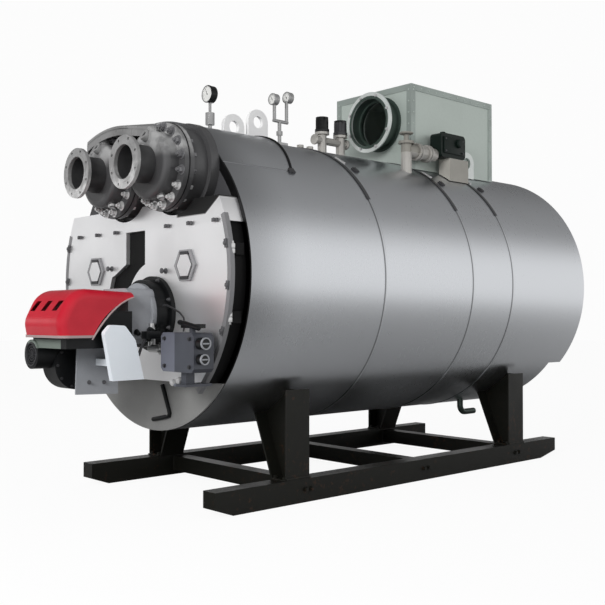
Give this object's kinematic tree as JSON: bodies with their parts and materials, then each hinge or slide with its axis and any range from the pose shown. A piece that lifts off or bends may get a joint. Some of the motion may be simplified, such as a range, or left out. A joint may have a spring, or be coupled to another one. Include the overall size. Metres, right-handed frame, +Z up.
{
  "type": "industrial boiler",
  "caption": "Horizontal hot-water boiler on a two-rail skid, with a gas burner and bolted doors on the front, exchanger nozzles above and a flue box on top.",
  "frame": {"origin": "middle of the whole footprint, on the floor", "axes": "+Z up, +Y along the drum from the burner end to the rear, the front faces -Y"},
  "size_m": [2, 4.5986, 3.035],
  "materials": {
    "black_paint": "satin",
    "dark_grey_paint": "satin",
    "flange_grey": "satin",
    "galvanised": "satin",
    "gauge_metal": "satin",
    "grey_plate": "satin",
    "light_alloy": "cast",
    "motor_black": "satin",
    "pale_panel": "gloss",
    "polished_steel": "polished",
    "red_cover": "gloss",
    "skid_black": "satin",
    "stainless_casing": "brushed",
    "valve_grey": "satin"
  },
  "bodies": {
    "root": {"burner_hood": "red_cover", "burner_housing": "light_alloy", "burner_ring": "black_paint", "casing_straps": "stainless_casing", "damper_drive": "valve_grey", "drum_casing": "stainless_casing", "drum_valves": "gauge_metal", "fan_casing": "motor_black", "fan_motor": "motor_black", "flue_box": "galvanised", "flue_frame": "galvanised", "flue_outlet": "flange_grey", "front_cross_beam": "skid_black", "front_hood": "stainless_casing", "front_left_leg": "skid_black", "front_lifting_eye": "stainless_casing", "front_plate": "grey_plate", "front_right_leg": "skid_black", "gas_pipe": "light_alloy", "gas_valve": "valve_grey", "header_cover": "polished_steel", "left_channel": "dark_grey_paint", "left_door": "polished_steel", "left_exchanger": "dark_grey_paint", "left_hatch": "polished_steel", "left_nozzle": "dark_grey_paint", "left_rail": "skid_black", "lower_plate": "grey_plate", "middle_cross_beam": "skid_black", "pressure_gauge": "gauge_metal", "rear_cross_beam": "skid_black", "rear_left_leg": "skid_black", "rear_lifting_eye": "stainless_casing", "rear_plate": "stainless_casing", "rear_right_leg": "skid_black", "rear_smoke_box": "stainless_casing", "right_channel": "dark_grey_paint", "right_door": "polished_steel", "right_exchanger": "dark_grey_paint", "right_hatch": "polished_steel", "right_nozzle": "dark_grey_paint", "right_rail": "skid_black", "side_panel": "pale_panel", "smokebox_body": "black_paint", "twin_gauge": "gauge_metal"}
  },
  "joints": []
}
